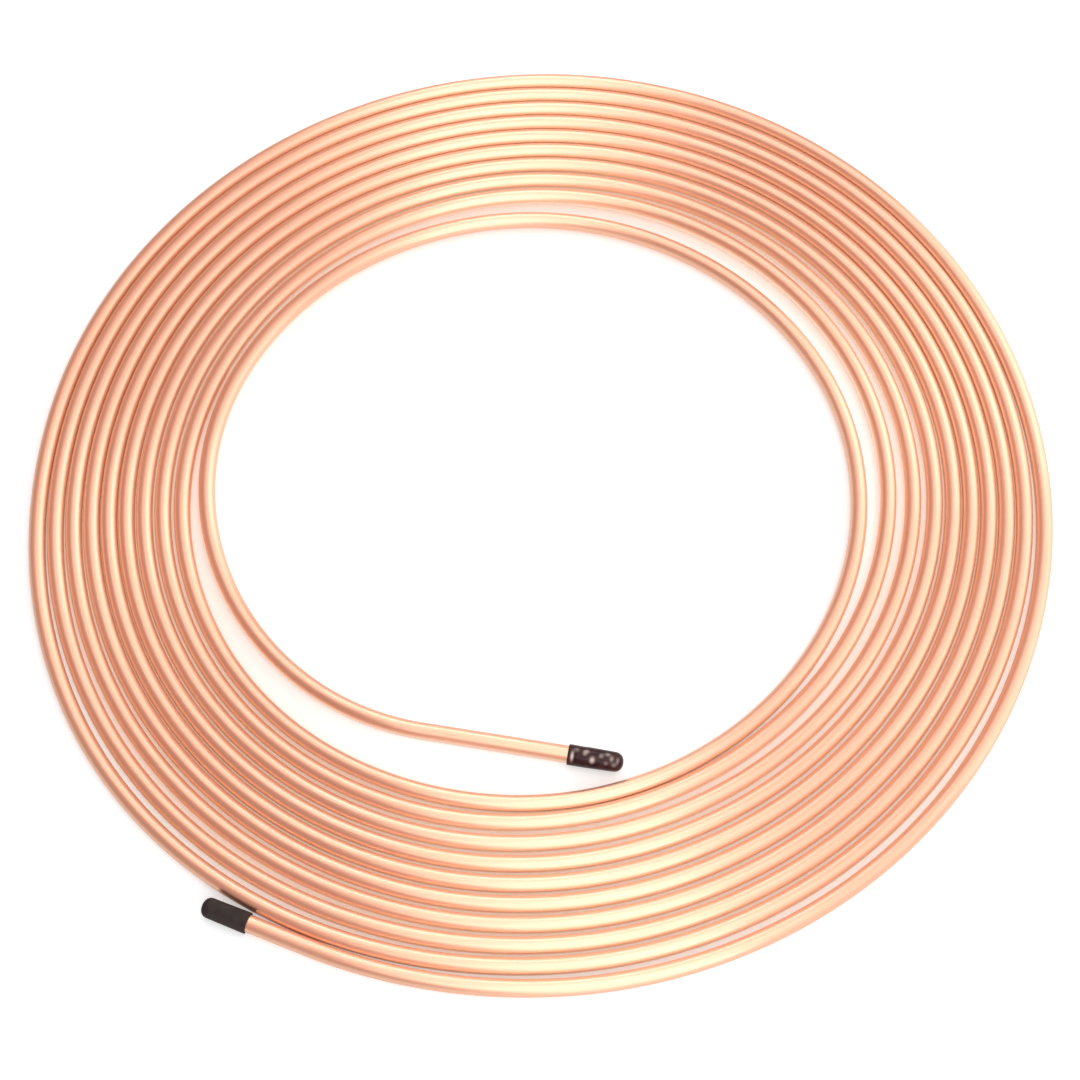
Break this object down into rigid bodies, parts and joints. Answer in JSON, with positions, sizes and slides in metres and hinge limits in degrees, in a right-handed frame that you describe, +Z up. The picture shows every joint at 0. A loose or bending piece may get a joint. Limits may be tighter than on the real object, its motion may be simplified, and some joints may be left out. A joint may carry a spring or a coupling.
{
  "type": "copper tube coil",
  "caption": "Flat spiral coil of bright soft copper tube, one length laid turn beside turn, with a dark push-on cap on each end.",
  "frame": {"origin": "middle of the coil's footprint, on the floor that the tube lies on", "axes": "+Z up through the eye of the coil, +X towards the slack side of the turns, +Y away from the two capped ends"},
  "size_m": [0.5764, 0.5838, 0.0119],
  "materials": {
    "copper": "bright-annealed copper, smooth and reflective",
    "outer_cap_vinyl": "matte charcoal vinyl",
    "inner_cap_vinyl": "glossy dark maroon vinyl"
  },
  "bodies": {
    "root": {"copper_tube": "copper", "outer_end_cap": "outer_cap_vinyl", "inner_end_cap": "inner_cap_vinyl"}
  },
  "joints": []
}
